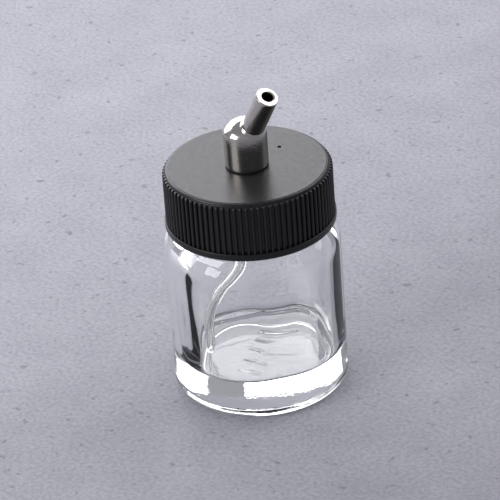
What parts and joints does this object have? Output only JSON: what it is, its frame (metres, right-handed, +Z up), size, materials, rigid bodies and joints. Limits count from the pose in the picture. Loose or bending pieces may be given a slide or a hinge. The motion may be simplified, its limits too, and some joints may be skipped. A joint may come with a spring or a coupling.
{
  "type": "airbrush siphon jar",
  "caption": "Round clear glass paint jar with a ribbed screw cap, a vent hole and a turning metal adaptor whose stem leans 30 degrees to plug into an airbrush.",
  "frame": {"origin": "on the jar's axis, at the height of the surface that the jar stands on", "axes": "+Z up along the jar's axis, +X the way the inlet stem leans at rest, +Y towards the vent hole in the cap"},
  "size_m": [0.037, 0.037, 0.0705],
  "materials": {
    "clear_glass": "gloss",
    "black_cap": "satin",
    "gasket_foam": "matte",
    "nickel": "satin",
    "seal_rubber": "matte",
    "washer_metal": "satin",
    "nut_metal": "satin",
    "nipple_metal": "satin",
    "clear_tube": "gloss"
  },
  "bodies": {
    "jar": {"glass_jar": "clear_glass"},
    "gasket": {"cap_gasket": "gasket_foam"},
    "cap": {"screw_cap": "black_cap"},
    "adaptor": {"adaptor_hub": "nickel", "inlet_stem": "nickel", "hub_seal": "seal_rubber", "inner_washer": "washer_metal", "lock_nut": "nut_metal", "siphon_nipple": "nipple_metal", "pickup_tube": "clear_tube"}
  },
  "joints": [
    {"name": "lid_lift", "type": "slide", "parent": "jar", "child": "gasket", "axis": [0, 0, 1], "range_m": [0, 0.00487]},
    {"name": "cap_turn", "type": "hinge", "parent": "gasket", "child": "cap", "pos_m": [0, 0, 0.045], "axis": [0, 0, 1], "range_deg": [0, 414]},
    {"name": "adaptor_swivel", "type": "hinge", "parent": "cap", "child": "adaptor", "pos_m": [0, 0, 0.0512], "axis": [0, 0, 1], "continuous": true}
  ],
  "couplings": [
    {"joint": "lid_lift", "follows": "cap_turn", "m_per_rad": 0.00067376}
  ]
}
